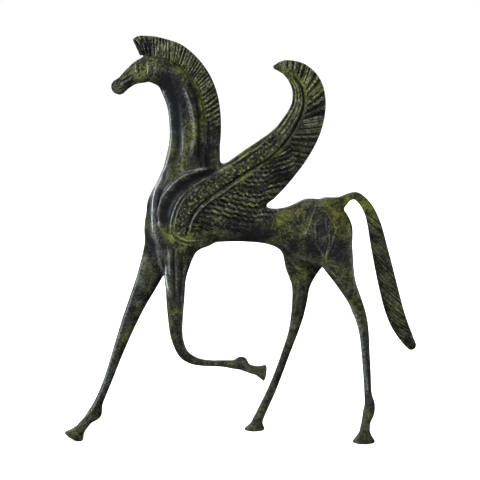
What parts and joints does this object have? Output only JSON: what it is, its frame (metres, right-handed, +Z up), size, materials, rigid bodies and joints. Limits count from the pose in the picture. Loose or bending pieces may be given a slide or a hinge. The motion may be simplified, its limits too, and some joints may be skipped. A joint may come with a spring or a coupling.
{
  "type": "bronze pegasus sculpture",
  "caption": "Slender stylised winged horse in patinated bronze, arched neck with a cropped crest, raised foreleg and one upswept wing blade.",
  "frame": {"origin": "on the floor under the middle of the bounding box", "axes": "+Z up, the head points to -X, the side seen in the picture faces -Y"},
  "size_m": [0.3002, 0.0618, 0.3389],
  "materials": {
    "bronze": "dark green-brown patina, waxed"
  },
  "bodies": {
    "root": {"pegasus": "bronze"}
  },
  "joints": []
}
